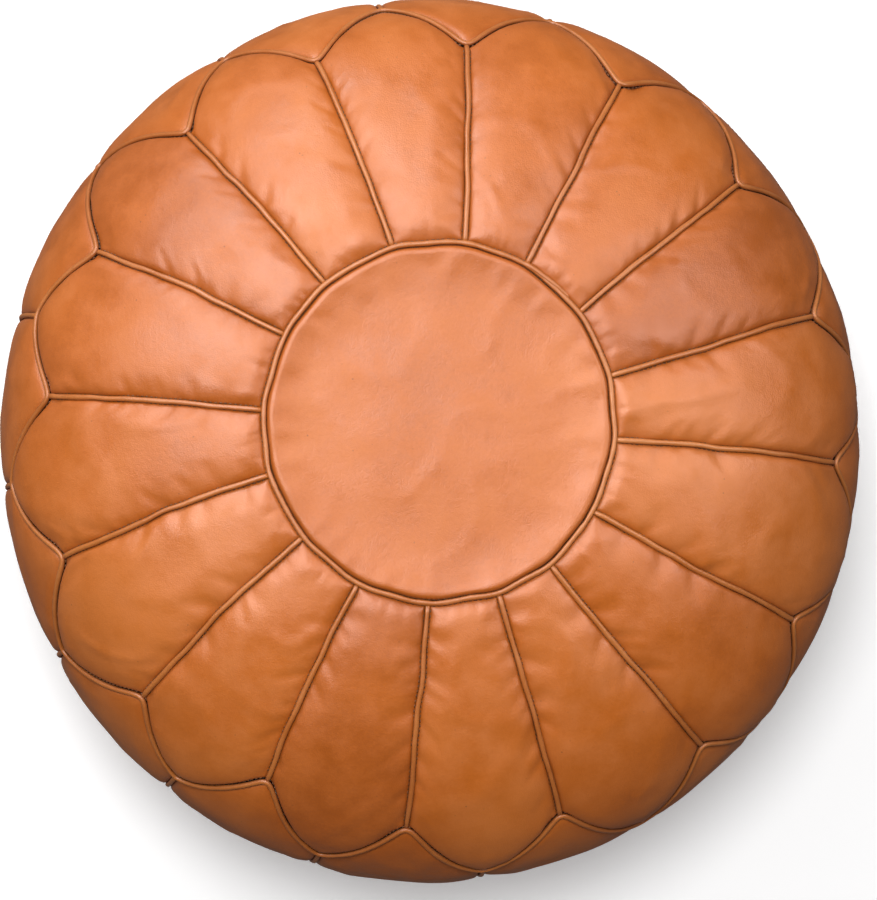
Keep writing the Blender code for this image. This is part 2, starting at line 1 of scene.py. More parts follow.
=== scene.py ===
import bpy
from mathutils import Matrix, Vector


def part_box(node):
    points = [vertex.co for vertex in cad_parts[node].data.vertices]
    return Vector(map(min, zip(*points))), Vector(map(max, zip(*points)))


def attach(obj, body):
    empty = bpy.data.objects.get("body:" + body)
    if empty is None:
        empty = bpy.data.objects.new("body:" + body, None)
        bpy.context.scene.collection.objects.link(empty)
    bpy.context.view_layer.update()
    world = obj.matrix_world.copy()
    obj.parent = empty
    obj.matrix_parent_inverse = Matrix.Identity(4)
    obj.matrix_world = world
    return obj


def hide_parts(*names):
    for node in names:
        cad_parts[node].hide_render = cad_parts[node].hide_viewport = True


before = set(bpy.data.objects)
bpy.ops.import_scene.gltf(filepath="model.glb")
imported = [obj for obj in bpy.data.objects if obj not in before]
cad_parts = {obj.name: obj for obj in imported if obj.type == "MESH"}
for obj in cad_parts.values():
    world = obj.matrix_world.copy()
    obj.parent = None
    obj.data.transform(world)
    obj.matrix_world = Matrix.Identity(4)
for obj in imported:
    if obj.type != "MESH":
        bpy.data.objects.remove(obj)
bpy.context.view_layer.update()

import math

import bmesh
import bpy
import numpy as np
from mathutils import Matrix, Vector, noise

# ---- the cover's shape, as in the CAD model

HALF_WIDTH_X = 0.2712
HALF_WIDTH_Y = 0.2787
MEAN_HALF_WIDTH = (HALF_WIDTH_X + HALF_WIDTH_Y) / 2
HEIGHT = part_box("top_disc")[1].z
WIDEST_HEIGHT = 0.165
TOP_ROUNDNESS = 2.5
LOWER_ROUNDNESS = 2.7
DISC_SPREAD = 0.385
VALLEY_SPREAD = 0.882
TIP_LEVEL = 0.85
SCALLOP_SWELL = 0.35
BASE_SPREAD = 0.66
FLAT_SPREAD = 0.60
BASE_SEAM_HEIGHT = 0.0045
DISC_SHIFT = (-0.004, 0.003)
PANELS = 16
PITCH = math.tau / PANELS
FIRST_SEAM = math.radians(-5)
INNER_STRAY = (1, -0.5, 0, 0.5, -1, -0.5, 1, -1.5, 0, -2.5, -3, -2.5, -1, 0.5, -2, -1.5)
OUTER_STRAY = (1, -0.5, -1, -0.5, 1, 1.5, 1, 0.5, 0, 0.5, 1, 0.5, 0, 0.5, 1, 0.5)
REACH_STRAY = (8, 4, -1, -2, -6, -5, -2, -3, 1, 3, 1, -7, -2, 1, 9, 8)
TIP_STRAY = (10, 6, 2, -2, -5, -2, 2, -8, -1, 0, -4, -3, -1, 7, 11, 11)
VALLEY_ROUNDING = 0.11
TIP_ROUNDING = 0.06

# ---- leather and welts

LEATHER = 0.0018  # thickness
SETBACK = 0.0013  # keeps the puffed leather inside the CAD outline
ROLL_DEPTH = 0.0015
ROLL_LENGTH = 0.0011
EDGE = 0.0010  # distance from a seam's middle to a panel's rim
EDGE_STEPS = np.array((1.0, 1.3, 1.65, 2.1, 2.8, 3.8, 5.3, 7.5, 10.5)) / 1000
PUFF = 0.0020
PUFF_LENGTH = 0.007
RIDGE = 0.0015
RIDGE_PLACE = 0.0095
RIDGE_LENGTH = 0.005
PUFF_START = 0.45
PETAL_MIDDLE = (16, 48)
SIDE_MIDDLE = (24, 70)
PETAL_LENGTH = 0.155
SIDE_LENGTH = 0.25
SIDE_CLOTH_SHARE = 0.35
DISC_COLUMNS = 14 * PANELS
DISC_RINGS = 22
DISC_HOLE = 0.02
DISC_UNEVENNESS = 0.5
DISC_TONE = 0.55
PINCHES_PER_METRE = 120
PINCH_FADE_RATE = 28
PINCH_GROUPS_PER_METRE = 11
PINCH_LENGTH = 0.011
PINCH_START = 0.0022
PINCH = 0.0010
PINCH_AT_SCALLOP = 0.0012
PINCH_AT_DISC = 0.0008
SIDE_PINCH = 0.0013
SIDE_PINCH_AT_SCALLOP = 0.0011
SIDE_PINCH_AT_BASE = 0.0016
DISC_PINCH = 0.0007
BROAD_RATE, MIDDLE_RATE, FOLD_RATE = 15, 38, 21
BROAD_SIZE, MIDDLE_SIZE, FOLD_SIZE = 0.0011, 0.00045, 0.0036
FOLD_RARITY = 0.82
WELT_HALF_WIDTH = 0.0016
WELT_HEIGHT = 0.0015
WELT_SIDES = 12
WELT_STEP = 0.0018
WELT_WANDER = 0.0004
WELT_FADE = 0.008
WELT_COARSE = 0.14
WELT_FINE = 0.09
WELT_LIFT = 0.00025
CORD_GAP = 0.0010
JOIN_PLACE = 2.25
JOIN_TURN = 0.95
JOIN_LENGTH = 0.040
JOIN_ASIDE = 0.0021
STITCH_PITCH = 0.0031
STITCH_LENGTH = 0.0021
STITCH_RADIUS = 0.00036
STITCH_SIDES = 6
STITCH_STRAY = 0.0003
STITCH_START = 0.004
STITCH_ROWS = (  # place along it, radius and rise, as shares of its half length and radius
    (-1.0, 0.4, -0.9), (-0.72, 0.95, -0.1), (0.0, 1.05, 0.1), (0.72, 0.95, -0.1), (1.0, 0.4, -0.9),
)
STITCH_OFFSET = 0.0020
STITCH_HEIGHT = -0.0011

# ---- the cloth simulation

CLOTH_FRAMES = 16
CLOTH_CAP = 0.006
CLOTH_SETTINGS = {
    "quality": 4,
    "mass": 0.15,
    "tension_stiffness": 40,
    "compression_stiffness": 40,
    "shear_stiffness": 20,
    "bending_stiffness": 1.0,
    "vertex_group_mass": "seams",
    "use_pressure": True,
    "uniform_pressure_force": 8.0,
    "shrink_min": -0.012,  # the leather is cut this much too large
}
PETAL_SHEET = (36, 22)
SIDE_SHEET = (48, 26)
DISC_SHEET = (24, 96)
CLOTH_HOLE = 0.03


def mix(start, end, share):
    return start + (end - start) * share


def smooth_step(share):
    share = np.clip(share, 0.0, 1.0)
    return share * share * (3 - 2 * share)


def profile(level):
    """The cover's spread, as a share of its half width, and its height at a level."""
    level = np.asarray(level, float)
    upper = np.clip(level, 0, 1) * math.pi / 2
    spread_up = np.sin(upper) ** (2 / TOP_ROUNDNESS)
    height_up = mix(WIDEST_HEIGHT, HEIGHT, np.clip(np.cos(upper), 0, 1) ** (2 / TOP_ROUNDNESS))
    fall = (1 - BASE_SPREAD ** LOWER_ROUNDNESS) ** (1 / LOWER_ROUNDNESS)
    depth = (WIDEST_HEIGHT - BASE_SEAM_HEIGHT) / fall
    last = math.asin(BASE_SPREAD ** (LOWER_ROUNDNESS / 2))
    lower = mix(math.pi / 2, last, np.clip(level, 1, 2) - 1)
    spread_low = np.sin(lower) ** (2 / LOWER_ROUNDNESS)
    height_low = WIDEST_HEIGHT - depth * np.clip(np.cos(lower), 0, 1) ** (2 / LOWER_ROUNDNESS)
    below = level > 1
    return np.where(below, spread_low, spread_up), np.where(below, height_low, height_up)


def top_level(spread):
    return np.arcsin(spread ** (TOP_ROUNDNESS / 2)) / (math.pi / 2)


LEVELS = np.linspace(0, 2, 4001)
_spread, _height = profile(LEVELS)
REACHES = np.concatenate([[0], np.cumsum(np.hypot(np.diff(_spread * MEAN_HALF_WIDTH), np.diff(_height)))])
BASE_REACH = REACHES[-1]


def reach_of(level):
    """Distance over the cover from the top's centre, in metres, at a level."""
    return np.interp(level, LEVELS, REACHES)


def level_of(reach):
    return np.interp(reach, REACHES, LEVELS)


def cover(angle, reach, proud=0.0):
    """Points and normals on the cover at these angles and reaches, standing this far proud."""
    angle, reach, proud = np.broadcast_arrays(np.asarray(angle, float), reach, proud)
    level = level_of(reach)
    step = 2e-3
    low_spread, low_height = profile(np.clip(level - step, 0, 2))
    high_spread, high_height = profile(np.clip(level + step, 0, 2))
    spread, height = profile(level)
    cos, sin = np.cos(angle), np.sin(angle)
    point = np.stack([HALF_WIDTH_X * spread * cos, HALF_WIDTH_Y * spread * sin, height], -1)
    run = high_spread - low_spread
    down = np.stack([HALF_WIDTH_X * run * cos, HALF_WIDTH_Y * run * sin, high_height - low_height], -1)
    across = np.stack([-HALF_WIDTH_X * sin, HALF_WIDTH_Y * cos, np.zeros_like(sin)], -1)
    normal = np.cross(down, across)
    normal /= np.linalg.norm(normal, axis=-1, keepdims=True)
    return point + normal * (proud - SETBACK)[..., None], normal


# ---- where the seams run

def wander(values, rate, seed):
    """A smooth random line: its value at each place, from -1 to 1."""
    found = [noise.noise(Vector((float(v) * rate, seed * 7.31, 0.5))) for v in np.ravel(values)]
    return np.reshape(found, np.shape(values))


def seam_angle(strays, seam):
    seam = np.asarray(seam, int)
    return FIRST_SEAM + seam * PITCH + np.radians(np.asarray(strays, float)[seam % PANELS])


def angle_between(strays, around):
    seam = np.floor(around).astype(int)
    return mix(seam_angle(strays, seam), seam_angle(strays, seam + 1), around - seam)


def disc_reach(around):
    """Reach of the round seam between the disc and the petals."""
    around = np.asarray(around, float)
    angle = angle_between(INNER_STRAY, around)
    shift = DISC_SHIFT[0] * np.cos(angle) + DISC_SHIFT[1] * np.sin(angle)
    reach = reach_of(top_level(DISC_SPREAD + shift / MEAN_HALF_WIDTH))
    corners = 0.0005 * np.cos(math.tau * around)
    return reach + corners + 0.0009 * ring_wander(around, 0.9, 3) + 0.0006 * ring_wander(around, 2.4, 6)


def ring_wander(around, rate, seed):
    """A random line that closes on itself after one turn."""
    turn = np.asarray(around, float) * math.tau / PANELS
    size = rate * PANELS / math.tau
    flat = np.ravel(turn)
    found = [noise.noise(Vector((size * math.cos(a), size * math.sin(a), seed * 5.7))) for a in flat]
    return np.reshape(found, np.shape(turn))


def valley_level(seam):
    stray = np.asarray(REACH_STRAY, float)[np.asarray(seam, int) % PANELS] / 1000
    return top_level(VALLEY_SPREAD + stray / MEAN_HALF_WIDTH)


def tip_level(seam):
    return TIP_LEVEL + np.asarray(TIP_STRAY, float)[np.asarray(seam, int) % PANELS] / 100


def rounded_start(share, rounding):
    """A share from 0 to 1 that starts off flat, for a rounded corner."""
    return (np.sqrt(share ** 2 + rounding ** 2) - rounding) / (math.sqrt(1 + rounding ** 2) - rounding)


def scallop(share):
    """How far down a scallop's arm is, from 0 at the valley to 1 at the tip."""
    soft = 1 - rounded_start(1 - share, TIP_ROUNDING)
    soft = rounded_start(soft, VALLEY_ROUNDING)
    return mix(soft, np.sin(soft * math.pi / 2), SCALLOP_SWELL)


def zigzag_reach(around):
    """Reach of the scalloped seam between the petals and the sides."""
    around = np.asarray(around, float)
    seam = np.floor(around).astype(int)
    share = around - seam
    nearest = np.where(share < 0.5, seam, seam + 1)
    arm = 1 - np.abs(2 * share - 1)
    level = mix(valley_level(nearest), tip_level(seam), scallop(arm))
    return reach_of(level) + 0.0009 * ring_wander(around, 2.5, 4) + 0.0006 * ring_wander(around, 5.5, 5)


def base_reach(around):
    """Reach of the round seam between the sides and the base."""
    return np.full_like(np.asarray(around, float), BASE_REACH)


def petal_seam_angle(seam, share):
    """Angle of the seam before petal `seam`, at a share of its length."""
    straight = mix(seam_angle(INNER_STRAY, seam), seam_angle(OUTER_STRAY, seam), share)
    ends = np.sin(np.clip(share, 0, 1) * math.pi)
    radius = mix(0.11, 0.24, share)
    stray = 0.0016 * wander(share, 2.6, 20 + seam % PANELS) + 0.0008 * wander(share, 9, 120 + seam % PANELS)
    return straight + ends * stray / radius


def side_seam_angle(tip, share):
    """Angle of the seam after side panel `tip`, from the scalloped seam to the base."""
    straight = mix(seam_angle(OUTER_STRAY, tip), seam_angle(OUTER_STRAY, tip + 1), 0.5)
    ends = np.sin(np.clip(share, 0, 1) * math.pi)
    stray = 0.003 * wander(share, 2.2, 50 + tip % PANELS) + 0.0009 * wander(share, 9, 150 + tip % PANELS)
    return straight + ends * stray / 0.27


# ---- meshes

def add_mesh(name, points, faces, attributes=()):
    """One object from arrays of points and faces, with float attributes on its points."""
    mesh = bpy.data.meshes.new(name)
    mesh.from_pydata(points.tolist(), [], faces)
    for key, values in dict(attributes).items():
        mesh.attributes.new(key, "FLOAT", "POINT").data.foreach_set("value", values.astype(np.float32))
    mesh.validate()
    mesh.shade_smooth()
    return add_object(name, mesh)


def add_object(name, data):
    thing = bpy.data.objects.new(name, data)
    bpy.context.scene.collection.objects.link(thing)
    return thing


def shell_faces(rows, columns):
    """Faces of a closed shell: an outer grid, an inner grid and the rim between them."""
    index = np.arange(rows * columns).reshape(rows, columns)
    outer = np.stack([index[:-1, :-1], index[1:, :-1], index[1:, 1:], index[:-1, 1:]], -1).reshape(-1, 4)
    inner = outer[:, ::-1] + rows * columns
    loop = np.concatenate([index[0, :-1], index[:-1, -1], index[-1, :0:-1], index[:0:-1, 0]])
    after = np.roll(loop, -1)
    rim = np.stack([loop, after, after + rows * columns, loop + rows * columns], -1)
    return np.concatenate([outer, inner, rim]).tolist()


# ---- cloth simulation

def petal_place(number, across, down):
    """Angle and reach at shares across and down petal `number`."""
    angle = mix(petal_seam_angle(number, down), petal_seam_angle(number + 1, down), across)
    around = number + across
    return angle, mix(disc_reach(around), zigzag_reach(around), down)


def side_place(number, across, down):
    """Angle and reach at shares across and down side panel `number`."""
    angle = mix(side_seam_angle(number - 1, down), side_seam_angle(number, down), across)
    return angle, mix(zigzag_reach(number - 0.5 + across), BASE_REACH, down)


def disc_place(number, across, down):
    """Angle and reach on the disc: once round for `across`, and from the rim inwards for `down`."""
    around = across * PANELS
    return angle_between(INNER_STRAY, around), disc_reach(around) * mix(1, CLOTH_HOLE, down)


def flat_sheets():
    """Every panel as a coarse grid of points on the cover, and whether the grid closes on itself."""
    sheets = []
    kinds = (
        (petal_place, PETAL_SHEET, PANELS),
        (side_place, SIDE_SHEET, PANELS),
        (disc_place, DISC_SHEET, 1),
    )
    for place, (rows, columns), count in kinds:
        closed = place is disc_place
        for number in range(count):
            across = np.linspace(0, 1, columns, endpoint=not closed)[None]
            down = np.linspace(0, 1, rows)[:, None]
            across, down = np.broadcast_arrays(across, down)
            sheets.append((cover(*place(number, across, down))[0], closed))
    return sheets


def grid_faces(rows, columns, closed, first):
    index = first + np.arange(rows * columns).reshape(rows, columns)
    if closed:
        index = np.concatenate([index, index[:, :1]], 1)
    return np.stack([index[:-1, :-1], index[1:, :-1], index[1:, 1:], index[:-1, 1:]], -1).reshape(-1, 4)


def sewn_border(rows, columns, closed):
    """Which points of a grid are sewn into a seam."""
    border = np.zeros((rows, columns), bool)
    border[0] = True
    if not closed:
        border[-1] = border[:, 0] = border[:, -1] = True
    return border


def inflate(sheets):
    """Blows up leather that was cut a little large and is held at its seams.

    Returns how far each point of each sheet moved.
    """
    points = np.concatenate([sheet.reshape(-1, 3) for sheet, _ in sheets])
    firsts = np.cumsum([0] + [sheet.shape[0] * sheet.shape[1] for sheet, _ in sheets])
    faces, sewn = [], []
    for (sheet, closed), first in zip(sheets, firsts):
        rows, columns = sheet.shape[:2]
        faces += grid_faces(rows, columns, closed, first).tolist()
        sewn.append(sewn_border(rows, columns, closed).ravel())
    thing = add_mesh("cloth_sheets", points, faces)
    thing.vertex_groups.new(name="seams").add(np.flatnonzero(np.concatenate(sewn)).tolist(), 1.0, "REPLACE")
    modifier = thing.modifiers.new("cloth", "CLOTH")
    cloth = modifier.settings
    for key, value in CLOTH_SETTINGS.items():
        setattr(cloth, key, value)
    cloth.effector_weights.gravity = 0
    modifier.collision_settings.use_collision = False
    modifier.point_cache.frame_end = CLOTH_FRAMES
    scene = bpy.context.scene
    for frame_number in range(1, CLOTH_FRAMES + 1):
        scene.frame_set(frame_number)
    result = thing.evaluated_get(bpy.context.evaluated_depsgraph_get()).data
    found = np.empty(len(points) * 3, np.float32)
    result.vertices.foreach_get("co", found)
    scene.frame_set(1)
    bpy.data.objects.remove(thing)
    moved = found.reshape(-1, 3) - points
    size = np.linalg.norm(moved, axis=1, keepdims=True)
    moved *= CLOTH_CAP * np.tanh(size / CLOTH_CAP) / np.maximum(size, 1e-9)
    return [moved[a:b].reshape(sheet.shape) for (sheet, _), a, b in zip(sheets, firsts, firsts[1:])]


def cubic_weights(share):
    """Catmull-Rom weights of the four grid points round a place."""
    return (0.5 * share * (-1 + share * (2 - share)), 0.5 * (2 + share * share * (3 * share - 5)),
            0.5 * share * (1 + share * (4 - 3 * share)), 0.5 * share * share * (share - 1))


def resample(grid, across, down, closed=False):
    """Values of a coarse grid at shares across and down it, smoothly."""
    rows, columns = grid.shape[:2]
    x = across * (columns if closed else columns - 1)
    y = np.clip(down, 0, 1) * (rows - 1)
    left = np.floor(x).astype(int) if closed else np.clip(np.floor(x).astype(int), 0, columns - 2)
    above = np.clip(np.floor(y).astype(int), 0, rows - 2)
    total = 0
    for i, row_weight in enumerate(cubic_weights(y - above)):
        row = np.clip(above + i - 1, 0, rows - 1)
        for j, column_weight in enumerate(cubic_weights(x - left)):
            column = left + j - 1
            column = column % columns if closed else np.clip(column, 0, columns - 1)
            total = total + grid[row, column] * (row_weight * column_weight)[..., None]
    return total


def simulated():
    """Cloth movement of the petals, the side panels and the disc."""
    sheets = flat_sheets()
    moved = inflate(sheets)
    return moved[:PANELS], moved[PANELS:2 * PANELS], moved[-1]


def spaced(length, middle):
    """Distances from one end of each length to the other: close near the ends, even between."""
    length = np.asarray(length, float)[..., None]
    inside = np.linspace(0, 1, middle + 1)[1:-1]
    steps = np.broadcast_to(EDGE_STEPS, length.shape[:-1] + EDGE_STEPS.shape)
    between = mix(EDGE_STEPS[-1], length - EDGE_STEPS[-1], inside)
    return np.concatenate([steps, between, (length - EDGE_STEPS)[..., ::-1]], -1)


def rolled(distances):
    """How strongly the leather rolls down into a seam, from each edge's distance."""
    total = sum(np.exp(-(np.maximum(d, EDGE) - EDGE) / ROLL_LENGTH) ** 4 for d in distances)
    return np.minimum(total, 1.0) ** 0.25


def puffed(distances):
    """How far the leather has risen away from its seams, from 0 to 1."""
    rise = 1.0
    for d in distances:
        rise = rise * (1 - np.exp(-np.maximum(d - EDGE, 0) / PUFF_LENGTH))
    return rise


def pucker(along, distance, seed, size):
    """Short pinches that run away from a seam and fade out."""
    flat = zip(np.ravel(along), np.ravel(distance))
    found = [noise.noise(Vector((s * PINCHES_PER_METRE, d * PINCH_FADE_RATE, seed))) for s, d in flat]
    where = smooth_step(wander(along, PINCH_GROUPS_PER_METRE, seed + 0.5) * 2.2 + 0.1)
    fade = np.exp(-distance / PINCH_LENGTH) * (1 - np.exp(-distance / PINCH_START))
    return size * np.reshape(found, np.shape(along)) * where * fade


def undulation(points, seed, size=1.0):
    """Broad, shallow unevenness of the filling under the leather."""
    offset = Vector((seed * 3.1, seed * 1.7, 0))
    found = []
    for point in points.reshape(-1, 3):
        place = Vector(point)
        broad = BROAD_SIZE * noise.noise(place * BROAD_RATE + offset)
        middle = MIDDLE_SIZE * noise.noise(place * MIDDLE_RATE + offset)
        fold = 1 - abs(noise.noise(place * FOLD_RATE + offset * 2))
        found.append(broad + middle + FOLD_SIZE * max(fold - FOLD_RARITY, 0))
    return size * np.reshape(found, points.shape[:-1])


def relief(distances):
    """Height of the leather over the cover: puffed up between its seams and rolled down into them."""
    return PUFF * (puffed(distances) - PUFF_START) - ROLL_DEPTH * rolled(distances)


def leather_surface(angle, reach, distances, puckers, seed, moved, uneven=1.0):
    """Outer points and normals of leather over the filling, its rim rolled down into the seams."""
    flat_points, normals = cover(angle, reach)
    calm = 1 - rolled(distances)
    height = relief(distances) + calm * (undulation(flat_points, seed, uneven) + puckers)
    return flat_points + normals * height[..., None] + moved * calm[..., None], normals


def random_tone(seed):
    """A panel's own shade, from 0 to 1."""
    return (math.sin(seed * 12.9898) * 43758.5453) % 1.0


def leather_shell(name, outer, normals, distances, tone, faces, middles=False):
    """A shell of leather, with how creased, how near a seam and how light each point is; crease and nearness
    set where its painted shade falls.
    """
    inner = outer - normals * LEATHER
    points = [outer.reshape(-1, 3), inner.reshape(-1, 3)]
    if middles:
        points.append([outer[-1].mean(0), inner[-1].mean(0)])
    points = np.concatenate(points)
    far = np.zeros(len(points) - 2 * normals[..., 0].size)
    attributes = {
        "crease": np.append(np.tile(rolled(distances).ravel(), 2), far),
        "near": np.append(np.tile((1 - puffed(distances)).ravel(), 2), far),
        "tone": np.full(len(points), tone),
    }
    return add_mesh(name, points, faces, attributes)


def edge_slant(edge, around, spread):
    """How much longer the way down to a seam is than the straight distance. Only the scalloped one slants."""
    if edge is not zigzag_reach:
        return np.ones_like(around)
    step = 0.01
    slope = (edge(around + step) - edge(around - step)) / (2 * step * PITCH * MEAN_HALF_WIDTH * spread)
    return np.sqrt(1 + slope ** 2)


def snap_rows(top, bottom, top_slant, bottom_slant, shares):
    """Reach of each row: near each end a true distance from its seam, and even between."""
    count = len(EDGE_STEPS)
    reach = top + (bottom - top) * shares[:, None]
    reach[:count] = top[:count] + EDGE_STEPS[:, None] * top_slant[:count]
    reach[-count:] = bottom[-count:] - EDGE_STEPS[::-1, None] * bottom_slant[-count:]
    inside = (shares[count:-count] - shares[count - 1]) / (shares[-count] - shares[count - 1])
    reach[count:-count] = mix(reach[count - 1], reach[-count], inside[:, None])
    return reach


def panel_grid(middle, length, seam_angle_at, seam, start, top_edge, bottom_edge):
    """Angles, reaches, distances from the four edges, and shares across and down of a panel's points.

    The panel lies between `seam` and the next, and its left edge stands at `start` round the cover.
    """
    columns, rows = middle
    shares = spaced(np.array([length]), rows)[0] / length
    mid_reach = mix(top_edge(start + 0.5), bottom_edge(start + 0.5), shares)
    spread = profile(level_of(mid_reach))[0]
    left, right = seam_angle_at(seam, shares), seam_angle_at(seam + 1, shares)
    width = (right - left) * MEAN_HALF_WIDTH * spread
    across = spaced(width, columns)
    part = across / width[:, None]
    angle = mix(left[:, None], right[:, None], part)
    around = start + part
    top, bottom = top_edge(around), bottom_edge(around)
    slants = [edge_slant(edge, around, spread[:, None]) for edge in (top_edge, bottom_edge)]
    reach = snap_rows(top, bottom, *slants, shares)
    distances = (across, width[:, None] - across, (reach - top) / slants[0], (bottom - reach) / slants[1])
    return angle, reach, distances, part, (reach - top) / (bottom - top)


def leather_panel(name, grid, rows, number, seed, moves, cloth_share=1.0, ridge=0.0):
    """A panel with four edges. A row of pinches is: places along an edge, the edge, a seed and a size."""
    angle, reach, distances, part, down = grid
    puckers = sum(pucker(along, distances[edge], first + number, size) for along, edge, first, size in rows)
    moved = cloth_share * resample(moves, part, down)
    surface = leather_surface(angle, reach, distances, puckers + ridge, seed, moved)
    return leather_shell(name, *surface, distances, random_tone(seed), shell_faces(*angle.shape))


def petal(number, moves):
    """One petal, from the disc to the scalloped seam."""
    edges = disc_reach, zigzag_reach
    grid = panel_grid(PETAL_MIDDLE, PETAL_LENGTH, petal_seam_angle, number, number, *edges)
    angle, reach, distances = grid[:3]
    rows = (
        (reach, 0, 60, PINCH),
        (reach, 1, 80, PINCH),
        (angle * 0.25, 3, 100, PINCH_AT_SCALLOP),
        (angle * 0.12, 2, 110, PINCH_AT_DISC),
    )
    ridge = RIDGE * np.exp(-((distances[2] - RIDGE_PLACE) / RIDGE_LENGTH) ** 2)
    ridge = ridge * (0.75 + 0.5 * wander(angle, 9, 130)) * puffed(distances[:2])
    name = f"petal_leather_{number + 1:02d}"
    return leather_panel(name, grid, rows, number, number + 1, moves[number], ridge=ridge)


def side_panel(number, moves):
    """One side panel, hanging from the scalloped seam to the base seam."""
    edges = zigzag_reach, base_reach
    grid = panel_grid(SIDE_MIDDLE, SIDE_LENGTH, side_seam_angle, number - 1, number - 0.5, *edges)
    angle, reach = grid[:2]
    rows = (
        (reach, 0, 120, SIDE_PINCH),
        (reach, 1, 140, SIDE_PINCH),
        (angle * 0.25, 2, 160, SIDE_PINCH_AT_SCALLOP),
        (angle * 0.2, 3, 180, SIDE_PINCH_AT_BASE),
    )
    name = f"side_leather_{number + 1:02d}"
    return leather_panel(name, grid, rows, number, number + 31, moves[number], SIDE_CLOTH_SHARE)


def disc_faces(rings, count):
    """Faces of the disc's shell: outer and inner rings, the rim, and fans round two middle points."""
    size = rings * count
    index = np.arange(size).reshape(-1, count)
    after = np.roll(index, -1, 1)
    outer = np.stack([index[:-1], after[:-1], after[1:], index[1:]], -1).reshape(-1, 4)
    rim = np.stack([index[0] + size, after[0] + size, after[0], index[0]], -1)
    last = list(zip(index[-1].tolist(), after[-1].tolist()))
    faces = outer.tolist() + (outer[:, ::-1] + size).tolist() + rim.tolist()
    faces += [[a, b, 2 * size] for a, b in last]
    faces += [[b + size, a + size, 2 * size + 1] for a, b in last]
    return faces


def disc(moves):
    """The round leather disc, as a closed shell of rings."""
    around = np.arange(DISC_COLUMNS) * PANELS / DISC_COLUMNS
    rim = disc_reach(around)
    rings = [rim - step for step in EDGE_STEPS]
    rings += [rings[-1] * share for share in np.linspace(1, DISC_HOLE, DISC_RINGS + 1)[1:]]
    reach = np.stack(rings)
    angle = np.broadcast_to(angle_between(INNER_STRAY, around), reach.shape)
    distances = (rim - reach,)
    puckers = pucker(angle * 0.11, distances[0], 200, DISC_PINCH)
    turn = np.broadcast_to(around / PANELS, reach.shape)
    moved = resample(moves, turn, (1 - reach / rim) / (1 - CLOTH_HOLE), closed=True)
    surface = leather_surface(angle, reach, distances, puckers, 77, moved, DISC_UNEVENNESS)
    faces = disc_faces(len(rings), DISC_COLUMNS)
    return leather_shell("disc_leather", *surface, distances, DISC_TONE, faces, middles=True)


def fading(place, fade):
    """1 along a line and 0 at both its ends."""
    return smooth_step(place / fade) * smooth_step((place[-1] - place) / fade)


def unevenness(count, seed, closed):
    """A welt's sideways stray, its change of thickness and its lift at each step."""
    place = np.arange(count) * WELT_STEP
    total = place[-1] + WELT_STEP
    if closed:
        turn = place / total * PANELS
        stray = ring_wander(turn, total * 2.2, seed + 5)
        rates, line, where = (6, 17, 4), ring_wander, turn
    else:
        stray = wander(place, 38, seed + 5) * fading(place, WELT_FADE)
        rates, line, where = (40, 110, 25), wander, place
    coarse, fine, lift = (line(where, rate, seed + more) for more, rate in enumerate(rates))
    return WELT_WANDER * stray, 1 + WELT_COARSE * coarse + WELT_FINE * fine, WELT_LIFT * lift


def tube_faces(count, sides, closed):
    """Faces of a tube of rings, which meets itself or has two flat ends."""
    index = np.arange(count * sides).reshape(count, sides)
    here = index if closed else index[:-1]
    following = np.roll(index, -1, 0) if closed else index[1:]
    faces = np.stack([here, np.roll(here, -1, 1), np.roll(following, -1, 1), following], -1)
    faces = faces.reshape(-1, 4).tolist()
    if not closed:
        faces += [index[0].tolist()[::-1], index[-1].tolist()]
    return faces


def welt(name, centres, normals, seed, closed=False):
    """A leather cord along a seam, a little uneven, flatter on top than a true circle."""
    if closed:
        along = np.roll(centres, -1, 0) - np.roll(centres, 1, 0)
    else:
        along = np.gradient(centres, axis=0)
    along /= np.linalg.norm(along, axis=1, keepdims=True)
    side = np.cross(along, normals)
    side /= np.linalg.norm(side, axis=1, keepdims=True)
    count = len(centres)
    stray, swell, lift = unevenness(count, seed, closed)
    centres = centres + side * stray[:, None]
    turns = math.tau * (np.arange(WELT_SIDES) + 0.5) / WELT_SIDES
    cos, sin = np.cos(turns), np.sin(turns)
    wide = np.sign(cos) * np.abs(cos) ** 0.85 * WELT_HALF_WIDTH
    high = np.sign(sin) * np.abs(sin) ** 0.9 * WELT_HEIGHT
    rings = centres[:, None] + normals[:, None] * (lift[:, None] + high * swell[:, None])[..., None]
    rings = rings + side[:, None] * (wide * swell[:, None])[..., None]
    faces = tube_faces(count, WELT_SIDES, closed)
    # The crown runs from -1 under the cord to 1 on its top and sets where the painted shade falls.
    return add_mesh(name, rings.reshape(-1, 3), faces, {"crown": np.tile(sin, count)})


